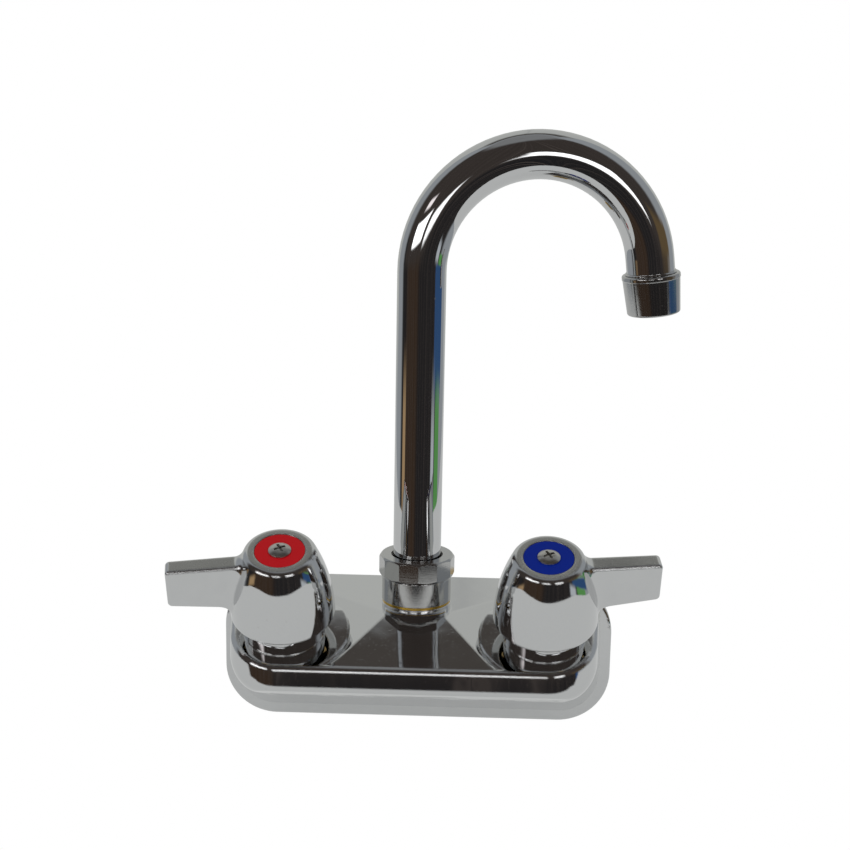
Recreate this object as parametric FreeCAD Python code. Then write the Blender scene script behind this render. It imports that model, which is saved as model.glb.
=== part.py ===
# Wall-mounted basin mixer tap: cast body, two quarter-turn valves with blade levers,
# and a swivelling gooseneck spout with an aerator.
# Millimetres. Origin at the centre of the flange's back face, which lies in the plane Y = 0.
# +Z is up, the front of the tap faces -Y, the hot valve is on the -X side.
import FreeCAD, Part
import math
import os

V = FreeCAD.Vector
UP = V(0, 0, 1)

# Flange and body
FLANGE_WIDTH = 165.1
FLANGE_HEIGHT = 62.3
FLANGE_THICK = 5.0
FLANGE_CORNER = 22.0
FLANGE_EDGE = 1.2
FLANGE_LIP = 4.8           # flat rim left in front of the flange, around the body
NOSE_Y = -85.6             # front face of the nose
NOSE_LOW_Z = 12.6          # lower edge of the nose
NOSE_HALF_WIDTH = 70.2
NOSE_ROUND = 2.6           # rounding of the nose's long edges
NOSE_LEAN = 8.0            # degrees that the nose leans back
FLANK_ROUND = 17.0         # rounding between the flanks and the underside
PLAN_CORNER = 20.5         # rounding of the body's front corners seen from above
BACK_WALL = 4.0            # casting wall round the open back
BACK_DEPTH = 26.0          # depth of the open back
BACK_RIB = 8.0             # width of the upright rib in the middle of the open back
SHOULDER_RISE = 0.2        # the shoulder is this much higher at the spout than at the flange
VALLEY_SIDE_SLOPE = 0.176  # fall of the facets beside the centre block, away from the middle
VALLEY_FRONT_SLOPE = 0.175

# Valves
VALVE_CENTRES = 101.6
VALVE_TILT = 22.5          # degrees that the valve axes lean forward
SHELF_Y = -64.3            # point where the valve axis meets the sloped shelf
SHELF_Z = 30.0
PLATFORM_R = 25.7
PLATFORM_TOP_Z = 34.4
CAST_EDGE = 0.9            # rounding of the casting's raised edges
BOSS_R = 15.8
BOSS_H = 9.7
BOSS_ROOT_H = -14.0        # the boss reaches this far into the body
NECK_R = 12.4
NECK_H = 15.0
CHAMBER_R = 10.0
CHAMBER_DEPTH = 20.0
PORT_R = 4.0
INLET_Z = 6.0
INLET_BORE_R = 5.5
MIX_BACK = 3.0             # the cross bore lies this far behind the valve axes' shelf points
MIX_DROP = 9.0             # and this far below them

# Centre block
BLOCK_TOP_HALF = 12.2
BLOCK_FOOT_HALF = 31.3
BLOCK_TOP_Y = -56.0
NOSE_SHELF = 3.1           # width of the flat strip between the block's foot and the nose
BLOCK_FOOT_Y = NOSE_Y + NOSE_SHELF

# Spout outlet
SPOUT_Y = -40.0
OUTLET_R = 13.9
OUTLET_TOP_Z = 34.8
OUTLET_ROOT_Z = 10.0
SEAT_RING_THICK = 1.1
SEAT_RING_RECESS = 0.25
SLEEVE_TOP_Z = 45.8
SLEEVE_BORE_R = 11.2
SLEEVE_SPIGOT_R = 10.4
SLEEVE_SPIGOT_LENGTH = 14.0
SLEEVE_WATER_R = 7.6
SLEEVE_THREAD_R = 13.0
SLEEVE_THREAD_LENGTH = 5.0
NUT_TOP_Z = 54.3
NUT_CORNER_R = 15.1
NUT_SIDES = 12
NUT_TURN = 3.9             # degrees that the nut's corners are turned from the front
NUT_CHAMFER = 1.1
NUT_HOLE_R = 10.35
NUT_LID = 3.0

# Gooseneck spout
TUBE_R = 9.525
TUBE_WALL = 1.1
ARCH_R = 45.1
ARCH_CENTRE_Z = 168.3
ARCH_BEND = 173.0
SPOUT_REST_TURN = 9.0      # degrees the spout was left turned towards the wall
TIP_STRAIGHT = 8.0         # straight tube after the bend
FOOT_LOW_Z = 38.8
FOOT_TOP_Z = 50.3
FOOT_R = 11.1
GLIDE_THICK = 0.5

# Aerator, measured along the tip from the end of the bend
COLLAR_R = 10.2
COLLAR_SHOW = 0.8          # height of the collar seen above the housing
AERATOR_START = 6.4
AERATOR_LENGTH = 15.9
AERATOR_TOP_R = 11.55
AERATOR_LOW_R = 10.45
AERATOR_RIM_BAND = 1.8     # straight band at the top of the housing
AERATOR_RIM_STEP = 0.2
AERATOR_ROUND = 0.8
AERATOR_BORE_R = 10.0
AERATOR_LIP = 1.7
AERATOR_MOUTH_R = 8.7
TIP_THREAD_END = AERATOR_START + 4.8
AERATOR_WASHER = 1.6
SCREEN_THICK = 0.4
SCREEN_HOLE_R = 0.75
SCREEN_RINGS = 3

# Levers
HUB_GAP = 0.6              # between the top of the boss and the hub
HUB_TOP_H = 39.8           # height of the hub's top above the shelf, along the valve axis
HUB_LOW_R = 20.3
HUB_MID_R = 18.7
HUB_MID_H = 24.0
HUB_TOP_R = 13.4
HUB_TOP_ROUND = 2.4
HUB_CAVITY_R = 17.2
HUB_CAVITY_H = 21.0
HUB_SOCKET_R = 8.0
ARM_REACH = 43.6
ARM_THICK = 7.8
ARM_TAPER = 0.3            # the tip is thinner by this much on each side
ARM_TOP_DROP = 3.9         # top of the arm below the hub's top, at the hub
ARM_TIP_DROP = 4.6
ARM_TIP_HEIGHT = 17.2
ARM_TIP_CORNER = 1.8       # rounding of the tip's upper and lower corners
ARM_KNEE_R = 24.5
ARM_KNEE_DROP = 23.8
ARM_FOOT_RISE = 2.2        # foot of the arm above the hub's lower rim
ARM_SWEEP_HOLLOW = 0.5
ARM_EDGE = 1.2
ARM_BLEND = 4.0            # rounding between the arm and the hub
LEVER_CLOCK = 7.6          # degrees that the closed levers stand off the wall's direction

# Lever fittings
INDEX_R = 9.65
INDEX_THICK = 1.0
INDEX_CLEARANCE = 0.1
SCREW_HEAD_R = 4.35
SCREW_HEAD_H = 1.5
SCREW_SHANK_R = 2.0
SCREW_LENGTH = 13.0
SCREW_SLOT_WIDTH = 1.0
SCREW_SLOT_LENGTH = 4.6
SCREW_SLOT_DEPTH = 1.3

# Cartridge, heights along the valve axis from the shelf
CARTRIDGE_FLANGE_R = 12.2
CARTRIDGE_FLANGE_THICK = 2.0
CARTRIDGE_NECK_R = 6.4
CARTRIDGE_NECK_TOP = 24.0
CARTRIDGE_WALL = 1.6
CARTRIDGE_ROOF_H = 2.0
WINDOW_WIDTH = 7.0
WINDOW_HEIGHT = 6.0
BONNET_FLATS = 28.6
BONNET_TOP_H = 19.2
STEM_R = 4.0
STEM_CLEARANCE = 0.06
STEM_SHOULDER_R = 6.0
STEM_POINTS = 12
STEM_POINT_R = 4.9
STEM_VALLEY_R = 4.35
STEM_TOP_H = 33.2
DISC_THICK = 3.0
DISC_GAP = 0.04
SEAL_THICK = 2.0
THRUST_THICK = 1.0
O_RING_SECTION = 0.55
O_RING_HEIGHTS = (8.0, 12.0)

# Inlet shanks
SHANK_R = 10.48
SHANK_BORE_R = 6.4
SHANK_LENGTH = 50.0        # beyond the wall face
SHANK_SOCKET = 14.0        # length screwed into the casting
SHANK_BOSS_WALL = 4.0
PANEL_ROOM = 12.7          # wall thickness that the shanks are shown clamping
WASHER_R = 17.0
WASHER_THICK = 2.0
LOCKNUT_FLATS = 31.0
LOCKNUT_THICK = 7.0
RELIEF_R = 9.6             # groove that ends the locknut's thread
RELIEF_WIDTH = 1.0
THREAD_CLEARANCE = 0.1

FIT_GAP = 0.1              # general clearance between stacked pieces
CUTTER = 400.0             # size of cutting blocks, larger than the whole tap
SLEEVE_Z = OUTLET_TOP_Z + SEAT_RING_THICK
HUB_LOW_H = BOSS_H + HUB_GAP
PARTS = {}


def keep(name, shape):
    PARTS[name] = shape


# Basic shapes
def cylinder(r, low, high, x=0.0, y=0.0):
    return Part.makeCylinder(r, high - low, V(x, y, low), UP)


def ring(outer, inner, low, high):
    return cylinder(outer, low, high).cut(cylinder(inner, low - 1, high + 1))


def along_y(r, start, end, x, z):
    return Part.makeCylinder(r, end - start, V(x, start, z), V(0, 1, 0))


def prism(sides, corner_r, low, high, turn=0.0):
    points = []
    for i in range(sides + 1):
        a = 2 * math.pi * (i % sides) / sides + math.radians(turn)
        points.append(V(corner_r * math.cos(a), corner_r * math.sin(a), low))
    return Part.Face(Part.makePolygon(points)).extrude(V(0, 0, high - low))


def star(points, outer, inner, low, high):
    corners = []
    for i in range(2 * points + 1):
        a = math.pi * (i % (2 * points)) / points
        r = outer if i % 2 == 0 else inner
        corners.append(V(r * math.cos(a), r * math.sin(a), low))
    return Part.Face(Part.makePolygon(corners)).extrude(V(0, 0, high - low))


def revolve(edges):
    wire = Part.Wire(edges)
    return Part.Face(wire).revolve(V(0, 0, 0), UP, 360)


def chain(points):
    return [Part.LineSegment(points[i], points[i + 1]).toShape() for i in range(len(points) - 1)]


def turned(profile):
    """Solid of revolution from (radius, height) corners."""
    points = [V(r, 0, h) for r, h in profile]
    points.append(points[0])
    return revolve(chain(points))


def torus_ring(centre_r, section_r, height):
    return Part.makeTorus(centre_r, section_r, V(0, 0, height), UP)


def rounded_outline(half_x, low_z, high_z, corner, y):
    """Closed wire of a rounded rectangle in the plane Y = y."""
    k = corner * (1 - math.sqrt(0.5))
    edges = []
    corners = [
        (half_x, low_z, -1, 1), (half_x, high_z, -1, -1),
        (-half_x, high_z, 1, -1), (-half_x, low_z, 1, 1),
    ]
    arcs = []
    for i, (cx, cz, sx, sz) in enumerate(corners):
        on_x = V(cx + sx * corner, y, cz)
        on_z = V(cx, y, cz + sz * corner)
        mid = V(cx + sx * k, y, cz + sz * k)
        first, last = (on_x, on_z) if i % 2 == 0 else (on_z, on_x)
        arcs.append((first, mid, last))
    for i, (first, mid, last) in enumerate(arcs):
        edges.append(Part.Arc(first, mid, last).toShape())
        following = arcs[(i + 1) % 4][0]
        edges.append(Part.LineSegment(last, following).toShape())
    return Part.Wire(edges)


def below_plane(point, normal):
    """Large block on the inner side of a plane."""
    block = Part.makeBox(CUTTER, CUTTER, CUTTER, V(-CUTTER / 2, -CUTTER / 2, -CUTTER))
    block.Placement = FreeCAD.Placement(point, FreeCAD.Rotation(UP, normal))
    return block


def fillet_where(shape, radius, wanted):
    edges = [e for e in shape.Edges if wanted(e)]
    return shape.makeFillet(radius, edges)


def one_solid(shape):
    shape = shape.removeSplitter()
    return shape.Solids[0] if len(shape.Solids) == 1 else shape


# Places
TILT = math.radians(VALVE_TILT)
LEAN = V(0, -math.sin(TILT), math.cos(TILT))


def valve_place(side):
    return FreeCAD.Placement(V(side * VALVE_CENTRES / 2, SHELF_Y, SHELF_Z),
                             FreeCAD.Rotation(V(1, 0, 0), VALVE_TILT))


def at_valve(shape, side):
    placed = shape.copy()
    placed.Placement = valve_place(side).multiply(placed.Placement)
    return placed


def at_spout(shape):
    placed = shape.copy()
    turn = FreeCAD.Placement(V(0, SPOUT_Y, 0), FreeCAD.Rotation(UP, SPOUT_REST_TURN))
    placed.Placement = turn.multiply(placed.Placement)
    return placed


# Body casting
FLANGE_TOP = FLANGE_HEIGHT / 2
RIM_FRONT = -FLANGE_THICK


def flange():
    outline = rounded_outline(FLANGE_WIDTH / 2, -FLANGE_TOP, FLANGE_TOP, FLANGE_CORNER, 0)
    plate = Part.Face(outline).extrude(V(0, RIM_FRONT, 0))
    return fillet_where(plate, FLANGE_EDGE, lambda e: e.BoundBox.YMax < RIM_FRONT + 0.01)


def mirrored(point):
    return V(-point.x, point.y, point.z)


def plan_blank():
    """Body seen from above: flanks closing in slightly, rounded corners, straight leaning nose."""
    back_x = FLANGE_WIDTH / 2 - FLANGE_LIP
    back_y = RIM_FRONT + FLANGE_THICK / 4
    slope = (back_x - NOSE_HALF_WIDTH) / (back_y - NOSE_Y)
    lean = math.atan(slope)
    r = PLAN_CORNER
    centre = V(NOSE_HALF_WIDTH + slope * r - r / math.cos(lean), NOSE_Y + r, 0)
    half_way = -(lean + math.pi / 2) / 2
    back = V(back_x + slope * FLANGE_HEIGHT, back_y + FLANGE_HEIGHT, 0)
    start = centre + V(math.cos(lean), -math.sin(lean), 0) * r
    middle = centre + V(math.cos(half_way), math.sin(half_way), 0) * r
    end = V(centre.x, NOSE_Y, 0)
    edges = chain([mirrored(back), back, start])
    edges.append(Part.Arc(start, middle, end).toShape())
    edges += chain([end, mirrored(end)])
    edges.append(Part.Arc(mirrored(end), mirrored(middle), mirrored(start)).toShape())
    edges += chain([mirrored(start), mirrored(back)])
    face = Part.Face(Part.Wire(edges))
    shift = math.tan(math.radians(NOSE_LEAN))
    face.translate(V(0, -shift * (FLANGE_HEIGHT + NOSE_LOW_Z), -FLANGE_HEIGHT))
    leaning = face.extrude(V(0, shift, 1) * 3 * FLANGE_HEIGHT)
    return leaning.common(below_plane(V(0, back_y, 0), V(0, 1, 0)))


def underside_height(y):
    low = FLANGE_LIP - FLANGE_TOP
    return low + (NOSE_LOW_Z - low) * (y - RIM_FRONT) / (NOSE_Y - RIM_FRONT)


def side_blank():
    """Body seen from the side: underside rising from the flange to the nose."""
    x = -FLANGE_WIDTH
    back = 2 * FLANGE_THICK
    front = NOSE_Y - PLAN_CORNER
    high = 2 * FLANGE_HEIGHT
    points = [V(x, back, underside_height(back)), V(x, front, underside_height(front)),
              V(x, front, high), V(x, back, high)]
    return Part.Face(Part.makePolygon(points + points[:1])).extrude(V(2 * FLANGE_WIDTH, 0, 0))


def low_edge_rounding(index, edge):
    """Rounding of one lower edge: wide along the flanks, narrowing round the corners to the nose."""
    box = edge.BoundBox
    if box.YMax < NOSE_Y + 0.01:
        return (index, NOSE_ROUND, NOSE_ROUND)
    if box.YMin > NOSE_Y + 0.01:
        return (index, FLANK_ROUND, FLANK_ROUND)
    starts_at_nose = edge.valueAt(edge.FirstParameter).y < NOSE_Y + 0.01
    return (index, NOSE_ROUND, FLANK_ROUND) if starts_at_nose else (index, FLANK_ROUND, NOSE_ROUND)


def body_envelope():
    """Tapered form from the flange to the nose, under the plane of the valve shelves."""
    document = FreeCAD.newDocument("envelope")
    blank = document.addObject("Part::Feature", "blank")
    blank.Shape = plan_blank().common(side_blank()).removeSplitter()
    rounded = document.addObject("Part::Fillet", "rounded")
    rounded.Base = blank
    rounded.Edges = [low_edge_rounding(i + 1, edge) for i, edge in enumerate(blank.Shape.Edges)
                     if edge.BoundBox.ZMax < FLANGE_TOP and edge.BoundBox.YMin < RIM_FRONT - 1]
    document.recompute()
    shape = rounded.Shape.Solids[0].copy()
    FreeCAD.closeDocument(document.Name)
    shape = shape.common(below_plane(V(0, SHELF_Y, SHELF_Z), LEAN)).Solids[0]
    top_front = lambda e: (e.BoundBox.ZMin > NOSE_LOW_Z + NOSE_ROUND + 1
                           and e.BoundBox.XLength > VALVE_CENTRES / 2 and e.BoundBox.YMax < BLOCK_FOOT_Y)
    return fillet_where(shape, NOSE_ROUND, top_front).Solids[0]


def shelf_height(y):
    return SHELF_Z + (y - SHELF_Y) * math.tan(TILT)


def low_body(envelope):
    """Shoulder behind, and a facet falling away on each side of the centre block."""
    rise = math.atan2(SHOULDER_RISE, -SPOUT_Y)
    shape = envelope.common(below_plane(V(0, 0, FLANGE_TOP), V(0, math.sin(rise), math.cos(rise))))
    foot = V(BLOCK_FOOT_HALF, BLOCK_FOOT_Y, shelf_height(BLOCK_FOOT_Y) - 0.2)
    for side in (-1, 1):
        point = V(side * foot.x, foot.y, foot.z)
        normal = V(side * VALLEY_SIDE_SLOPE, -VALLEY_FRONT_SLOPE, 1)
        shape = shape.common(below_plane(point, normal))
    return shape


def centre_block(envelope):
    """Wedge in front of the spout whose sloped face lines up with the valve shelves."""
    front = NOSE_Y - NOSE_ROUND
    spread = (BLOCK_FOOT_HALF - BLOCK_TOP_HALF) / (BLOCK_TOP_Y - BLOCK_FOOT_Y)
    half_front = BLOCK_TOP_HALF + spread * (BLOCK_TOP_Y - front)
    low = -FLANGE_TOP
    points = [V(-BLOCK_TOP_HALF, SPOUT_Y, low), V(BLOCK_TOP_HALF, SPOUT_Y, low),
              V(BLOCK_TOP_HALF, BLOCK_TOP_Y, low), V(half_front, front, low),
              V(-half_front, front, low), V(-BLOCK_TOP_HALF, BLOCK_TOP_Y, low)]
    points.append(points[0])
    wedge = Part.Face(Part.makePolygon(points)).extrude(V(0, 0, 2 * FLANGE_HEIGHT))
    return envelope.common(wedge).common(below_plane(V(0, 0, shelf_height(BLOCK_TOP_Y)), UP))


def nose_bar(envelope):
    """Strip of shelf that runs along the front, joining the valves."""
    bar = Part.makeBox(2 * FLANGE_WIDTH, NOSE_SHELF + NOSE_ROUND, 4 * FLANGE_HEIGHT,
                       V(-FLANGE_WIDTH, NOSE_Y - NOSE_ROUND, -2 * FLANGE_HEIGHT))
    return envelope.common(bar)


def platform(envelope, side):
    disc = at_valve(cylinder(PLATFORM_R, -FLANGE_HEIGHT, 0), side)
    disc = disc.common(below_plane(V(0, 0, PLATFORM_TOP_Z), UP))
    raised = lambda e: e.BoundBox.ZMax > PLATFORM_TOP_Z - 0.01 and e.BoundBox.ZMin > 0
    return envelope.common(fillet_where(disc, CAST_EDGE, raised))


def valve_boss(side):
    boss = cylinder(BOSS_R, BOSS_ROOT_H, BOSS_H)
    boss = fillet_where(boss, CAST_EDGE, lambda e: e.BoundBox.ZMin > BOSS_H - 0.01)
    neck = cylinder(NECK_R, BOSS_H - 1, NECK_H)
    return at_valve(boss.fuse(neck), side)


def back_recess():
    """Open back of the casting, behind the waterways, with an upright rib in the middle."""
    half = FLANGE_WIDTH / 2 - FLANGE_LIP - BACK_WALL
    corner = FLANK_ROUND - BACK_WALL
    low = underside_height(0) + BACK_WALL
    outline = rounded_outline(half, low, FLANGE_TOP - BACK_WALL, corner, 1)
    inner = rounded_outline(half - BACK_WALL / 2, underside_height(-BACK_DEPTH) + BACK_WALL,
                            FLANGE_TOP - BACK_WALL, corner - BACK_WALL / 2, -BACK_DEPTH)
    recess = Part.makeLoft([outline, inner], True, True)
    rib = Part.makeBox(BACK_RIB, BACK_DEPTH + FLANGE_THICK, 2 * FLANGE_HEIGHT,
                       V(-BACK_RIB / 2, -BACK_DEPTH - FLANGE_THICK, -FLANGE_HEIGHT))
    return recess.cut(rib)


def inlet_boss(side):
    return along_y(SHANK_R + SHANK_BOSS_WALL, -BACK_DEPTH - BACK_WALL, 0, side * VALVE_CENTRES / 2, INLET_Z)


def water_ways(side):
    x = side * VALVE_CENTRES / 2
    chamber = cylinder(CHAMBER_R, -CHAMBER_DEPTH, NECK_H + 1)
    port = cylinder(PORT_R, -CHAMBER_DEPTH - INLET_BORE_R, 0)
    ways = at_valve(chamber.fuse(port), side)
    shank_hole = along_y(SHANK_R + THREAD_CLEARANCE, -SHANK_SOCKET - FIT_GAP, 1, x, INLET_Z)
    feed = along_y(INLET_BORE_R, SHELF_Y + CHAMBER_R, 0, x, INLET_Z)
    return ways.fuse(shank_hole).fuse(feed)


def mixing_ways():
    """Cross bore between the valve chambers and its branch to the spout socket."""
    y = SHELF_Y + MIX_BACK
    z = SHELF_Z - MIX_DROP
    length = VALVE_CENTRES - CHAMBER_R
    cross = Part.makeCylinder(PORT_R, length, V(-length / 2, y, z), V(1, 0, 0))
    branch = along_y(PORT_R, y, SPOUT_Y, 0, z)
    socket_r = SLEEVE_SPIGOT_R + THREAD_CLEARANCE
    socket_low = SLEEVE_Z - SLEEVE_SPIGOT_LENGTH - SEAT_RING_THICK - FIT_GAP
    socket = cylinder(socket_r, socket_low, 2 * OUTLET_TOP_Z, 0, SPOUT_Y)
    sump = cylinder(SLEEVE_WATER_R, z - PORT_R, socket_low + 1, 0, SPOUT_Y)
    return cross.fuse([branch, socket, sump])


def body_casting():
    envelope = body_envelope()
    solid = low_body(envelope)
    solid = solid.fuse([centre_block(envelope), nose_bar(envelope),
                        platform(envelope, -1), platform(envelope, 1)])
    solid = solid.removeSplitter()
    recess = back_recess()
    for side in (-1, 1):
        recess = recess.cut(inlet_boss(side))
        recess = recess.cut(at_valve(cylinder(CHAMBER_R + BACK_WALL, -CHAMBER_DEPTH - 2 * BACK_WALL, SHELF_Z), side))
    recess = recess.cut(cylinder(OUTLET_R, -FLANGE_THICK, 2 * OUTLET_TOP_Z, 0, SPOUT_Y))
    solid = solid.fuse(flange()).cut(recess)
    solid = solid.fuse(cylinder(OUTLET_R, OUTLET_ROOT_Z, OUTLET_TOP_Z, 0, SPOUT_Y))
    for side in (-1, 1):
        solid = solid.fuse(valve_boss(side))
        solid = solid.cut(water_ways(side))
    return solid.cut(mixing_ways()).Solids[0]


# Inlet side
def inlet_shank(side):
    x = side * VALVE_CENTRES / 2
    tube = along_y(SHANK_R, -SHANK_SOCKET, SHANK_LENGTH, x, INLET_Z)
    tube = fillet_where(tube, 1.0, lambda e: e.BoundBox.YMin > SHANK_LENGTH - 0.01)
    relief = PANEL_ROOM + WASHER_THICK + LOCKNUT_THICK + RELIEF_WIDTH
    groove = along_y(2 * SHANK_R, relief, relief + RELIEF_WIDTH, x, INLET_Z)
    tube = tube.cut(groove.cut(along_y(RELIEF_R, relief, relief + RELIEF_WIDTH, x, INLET_Z)))
    return tube.cut(along_y(SHANK_BORE_R, -SHANK_SOCKET - 1, SHANK_LENGTH + 1, x, INLET_Z))


def onto_shank(shape, side):
    placed = shape.copy()
    placed.Placement = FreeCAD.Placement(V(side * VALVE_CENTRES / 2, 0, INLET_Z),
                                         FreeCAD.Rotation(V(1, 0, 0), -90))
    return placed


def shank_washer(side):
    return onto_shank(ring(WASHER_R, SHANK_R + THREAD_CLEARANCE, PANEL_ROOM, PANEL_ROOM + WASHER_THICK),
                      side)


def hex_nut(flats, bore, low, high):
    corner = flats / math.sqrt(3)
    nut = prism(6, corner, low, high)
    chamfer = corner - flats / 2
    crown = turned([(0, low), (flats / 2, low), (corner, low + chamfer * 0.58),
                    (corner, high - chamfer * 0.58), (flats / 2, high), (0, high)])
    return nut.common(crown).cut(cylinder(bore, low - 1, high + 1))


def locknut(side):
    low = PANEL_ROOM + WASHER_THICK
    return onto_shank(hex_nut(LOCKNUT_FLATS, SHANK_R + THREAD_CLEARANCE, low, low + LOCKNUT_THICK), side)


# Spout seat
def seat_ring():
    return ring(OUTLET_R - SEAT_RING_RECESS, SLEEVE_SPIGOT_R + THREAD_CLEARANCE,
                OUTLET_TOP_Z, SLEEVE_Z)


def spout_sleeve():
    low = SLEEVE_Z - SLEEVE_SPIGOT_LENGTH
    outer = turned([(SLEEVE_WATER_R, low), (SLEEVE_SPIGOT_R, low), (SLEEVE_SPIGOT_R, SLEEVE_Z),
                    (OUTLET_R, SLEEVE_Z), (OUTLET_R, SLEEVE_TOP_Z),
                    (SLEEVE_THREAD_R, SLEEVE_TOP_Z),
                    (SLEEVE_THREAD_R, SLEEVE_TOP_Z + SLEEVE_THREAD_LENGTH),
                    (SLEEVE_BORE_R, SLEEVE_TOP_Z + SLEEVE_THREAD_LENGTH),
                    (SLEEVE_BORE_R, FOOT_LOW_Z - FIT_GAP), (SLEEVE_WATER_R, FOOT_LOW_Z - FIT_GAP)])
    rim = lambda e: (abs(e.BoundBox.ZMax - SLEEVE_TOP_Z) < 0.01 and e.BoundBox.ZLength < 0.01
                     and abs(e.BoundBox.XMax - OUTLET_R) < 0.01)
    return fillet_where(outer, 0.5, rim)


def spout_nut():
    low = SLEEVE_TOP_Z
    body = prism(NUT_SIDES, NUT_CORNER_R, low, NUT_TOP_Z, NUT_TURN)
    crown_r = NUT_CORNER_R * math.cos(math.pi / NUT_SIDES) - 0.4
    c = NUT_CHAMFER
    crown = turned([(0, low), (crown_r, low), (NUT_CORNER_R + 0.1, low + c),
                    (NUT_CORNER_R + 0.1, NUT_TOP_Z - c), (crown_r, NUT_TOP_Z), (0, NUT_TOP_Z)])
    body = body.common(crown)
    body = body.cut(cylinder(SLEEVE_THREAD_R + THREAD_CLEARANCE, low - 1, NUT_TOP_Z - NUT_LID))
    return body.cut(cylinder(NUT_HOLE_R, low, NUT_TOP_Z + 1))


# Gooseneck, in its own frame: foot on the Z axis, reaching towards +X
BEND = math.radians(ARCH_BEND)
BEND_END = V(ARCH_R * (1 - math.cos(BEND)), 0, ARCH_CENTRE_Z + ARCH_R * math.sin(BEND))
TIP_DIR = V(math.sin(BEND), 0, math.cos(BEND))


def tip_place():
    return FreeCAD.Placement(BEND_END, FreeCAD.Rotation(UP, TIP_DIR))


def at_tip(shape):
    placed = shape.copy()
    placed.Placement = tip_place()
    return at_spout(placed)


def gooseneck_path():
    foot = V(0, 0, FOOT_LOW_Z)
    start = V(0, 0, ARCH_CENTRE_Z)
    half = BEND / 2
    mid = V(ARCH_R * (1 - math.cos(half)), 0, ARCH_CENTRE_Z + ARCH_R * math.sin(half))
    end = BEND_END + TIP_DIR * TIP_STRAIGHT
    return Part.Wire([Part.LineSegment(foot, start).toShape(),
                      Part.Arc(start, mid, BEND_END).toShape(),
                      Part.LineSegment(BEND_END, end).toShape()])


def swept(r):
    circle = Part.Wire([Part.makeCircle(r, V(0, 0, FOOT_LOW_Z), UP)])
    return gooseneck_path().makePipeShell([circle], True, True)


def spout_tube():
    return at_spout(swept(TUBE_R).cut(swept(TUBE_R - TUBE_WALL)))


def spout_foot():
    """Brass bush on the tube's foot, with two grooves for its seals."""
    bush = ring(FOOT_R, TUBE_R + 0.02, FOOT_LOW_Z, FOOT_TOP_Z)
    for height in foot_ring_heights():
        bush = bush.cut(torus_ring(FOOT_R - O_RING_SECTION, O_RING_SECTION + 0.05, height))
    return at_spout(bush)


def foot_ring_heights():
    span = FOOT_TOP_Z - FOOT_LOW_Z
    return (FOOT_LOW_Z + 0.25 * span, FOOT_LOW_Z + 0.5 * span)


def spout_o_rings():
    rings = [at_spout(torus_ring(FOOT_R - O_RING_SECTION, O_RING_SECTION, h)) for h in foot_ring_heights()]
    return Part.makeCompound(rings)


def glide_ring():
    top = NUT_TOP_Z - NUT_LID - FIT_GAP
    return at_spout(ring(SLEEVE_BORE_R - FIT_GAP, TUBE_R + FIT_GAP, top - GLIDE_THICK, top))


# Spout tip, heights along the tip's own axis
def tip_collar():
    start = AERATOR_START - COLLAR_SHOW
    shoulder = AERATOR_START - FIT_GAP
    outer = turned([(TUBE_R + 0.02, start), (TUBE_R + 0.35, start),
                    (COLLAR_R, start + COLLAR_SHOW / 2), (COLLAR_R, shoulder),
                    (AERATOR_BORE_R - THREAD_CLEARANCE, shoulder),
                    (AERATOR_BORE_R - THREAD_CLEARANCE, TIP_THREAD_END),
                    (TUBE_R - TUBE_WALL, TIP_THREAD_END),
                    (TUBE_R - TUBE_WALL, TIP_STRAIGHT + 0.02), (TUBE_R + 0.02, TIP_STRAIGHT + 0.02)])
    return at_tip(outer)


def aerator_housing():
    a = AERATOR_START
    end = a + AERATOR_LENGTH
    lip = end - AERATOR_LIP
    band = a + AERATOR_RIM_BAND
    shell = turned([(AERATOR_BORE_R, a), (AERATOR_TOP_R, a), (AERATOR_TOP_R, band),
                    (AERATOR_TOP_R - AERATOR_RIM_STEP, band + AERATOR_RIM_STEP),
                    (AERATOR_LOW_R, end), (AERATOR_MOUTH_R, end), (AERATOR_MOUTH_R, lip),
                    (AERATOR_BORE_R, lip)])
    outer = lambda e: (e.BoundBox.ZLength < 0.01 and e.BoundBox.XMax > AERATOR_LOW_R - 0.01
                       and (e.BoundBox.ZMax < a + 0.01 or e.BoundBox.ZMin > end - 0.01))
    return at_tip(fillet_where(shell, AERATOR_ROUND, outer))


def screen_low():
    return AERATOR_START + AERATOR_LENGTH - AERATOR_LIP - SCREEN_THICK


def aerator_washer():
    return at_tip(ring(AERATOR_BORE_R - FIT_GAP, TUBE_R - TUBE_WALL - 1, TIP_THREAD_END,
                       TIP_THREAD_END + AERATOR_WASHER))


def aerator_insert():
    """Plastic mixing cup with a cone and side slots."""
    low = TIP_THREAD_END + AERATOR_WASHER
    high = screen_low()
    r = AERATOR_BORE_R - FIT_GAP
    cup = turned([(0, low + 1.2), (r - 2, low + 0.4), (r - 2, low), (r, low), (r, high),
                  (r - 1.5, high), (r - 1.5, low + 2.4), (2.0, low + 2.4), (0.0, high - 0.6)])
    hole = Part.makeCylinder(0.8, 6, V(5.6, 0, low - 1), UP)
    for i in range(8):
        copy = hole.copy()
        copy.rotate(V(0, 0, 0), UP, i * 45)
        cup = cup.cut(copy)
    return at_tip(cup)


def aerator_screen():
    low = screen_low()
    disc = cylinder(AERATOR_BORE_R - FIT_GAP, low, low + SCREEN_THICK)
    pitch = 2.5
    for row in range(1, SCREEN_RINGS + 1):
        for i in range(6 * row):
            a = 2 * math.pi * i / (6 * row)
            disc = disc.cut(cylinder(SCREEN_HOLE_R, low - 1, low + 2,
                                     row * pitch * math.cos(a), row * pitch * math.sin(a)))
    return at_tip(disc.cut(cylinder(SCREEN_HOLE_R, low - 1, low + 2)))


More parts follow.
